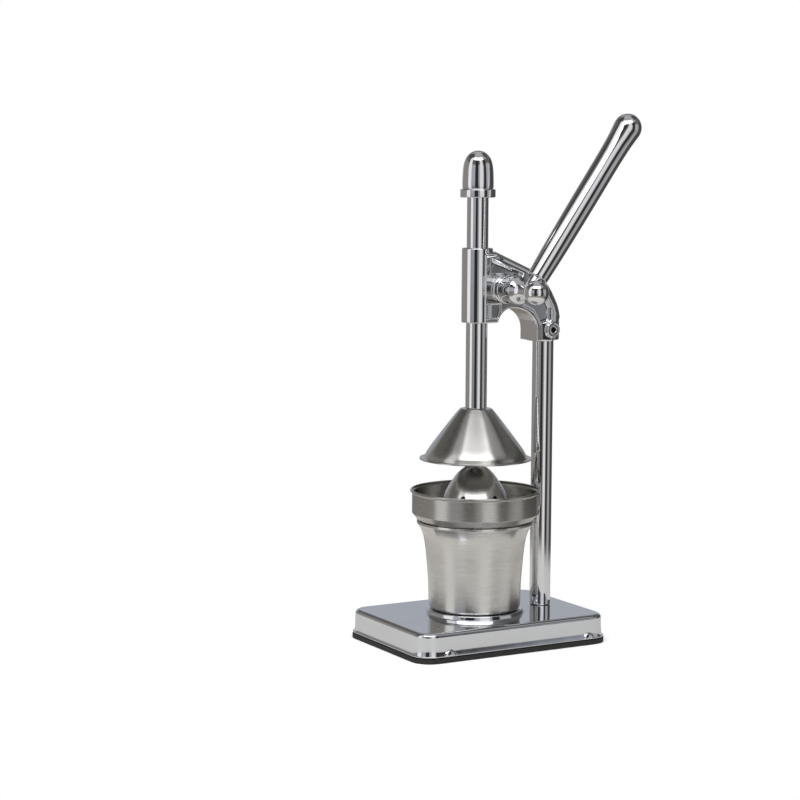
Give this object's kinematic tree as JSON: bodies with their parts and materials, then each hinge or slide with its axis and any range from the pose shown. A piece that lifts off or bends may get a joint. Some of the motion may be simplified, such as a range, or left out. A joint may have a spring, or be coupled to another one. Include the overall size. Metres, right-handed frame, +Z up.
{
  "type": "lever citrus press",
  "caption": "Free-standing lever press for citrus: a rack and pinion drives a bell down over a reamer in a bowl that drains into a loose cup.",
  "frame": {"origin": "middle of the underside of the base, at the level of the surface that it stands on", "axes": "+Z up, -Y towards the cup at the front, +X towards the lever"},
  "size_m": [0.151, 0.2343, 0.4926],
  "materials": {
    "chrome": "polished chrome plate",
    "brushed_steel": "spun stainless steel with fine turned brushing",
    "polished_steel": "polished stainless steel",
    "zinc_steel": "zinc-plated steel",
    "bronze": "oiled bearing bronze",
    "rubber": "matt black moulded rubber"
  },
  "bodies": {
    "frame": {"base_mat": "rubber", "base_shell": "chrome", "base_screw_1": "zinc_steel", "base_screw_2": "zinc_steel", "base_screw_3": "zinc_steel", "base_screw_4": "zinc_steel", "post": "chrome", "post_bolt": "zinc_steel", "post_washer": "zinc_steel", "head_casting": "chrome", "head_set_screw": "zinc_steel", "shaft_bush_near": "bronze", "shaft_bush_cap": "chrome"},
    "lever": {"pinion_shaft": "zinc_steel", "shaft_washer": "zinc_steel", "shaft_screw": "zinc_steel", "lever_hub": "chrome", "hub_grub_screw": "zinc_steel", "lever_handle": "chrome"},
    "ram": {"press_rod": "chrome", "rod_cap": "chrome", "press_bell": "brushed_steel", "bell_washer": "zinc_steel", "bell_nut": "zinc_steel"},
    "cup_set": {"juice_cup": "brushed_steel", "juice_bowl": "brushed_steel", "reamer": "polished_steel"}
  },
  "joints": [
    {"name": "lever_turn", "type": "hinge", "parent": "frame", "child": "lever", "pos_m": [0, 0.018, 0.3305], "axis": [1, 0, 0], "range_deg": [-40, 140]},
    {"name": "rod_slide", "type": "slide", "parent": "frame", "child": "ram", "axis": [0, 0, 1], "range_m": [-0.0333, 0.0097]},
    {"name": "cup_slide", "type": "slide", "parent": "frame", "child": "cup_set", "axis": [0, -1, 0], "range_m": [0, 0.125]}
  ],
  "couplings": [
    {"joint": "rod_slide", "follows": "lever_turn", "m_per_rad": -0.0135}
  ]
}
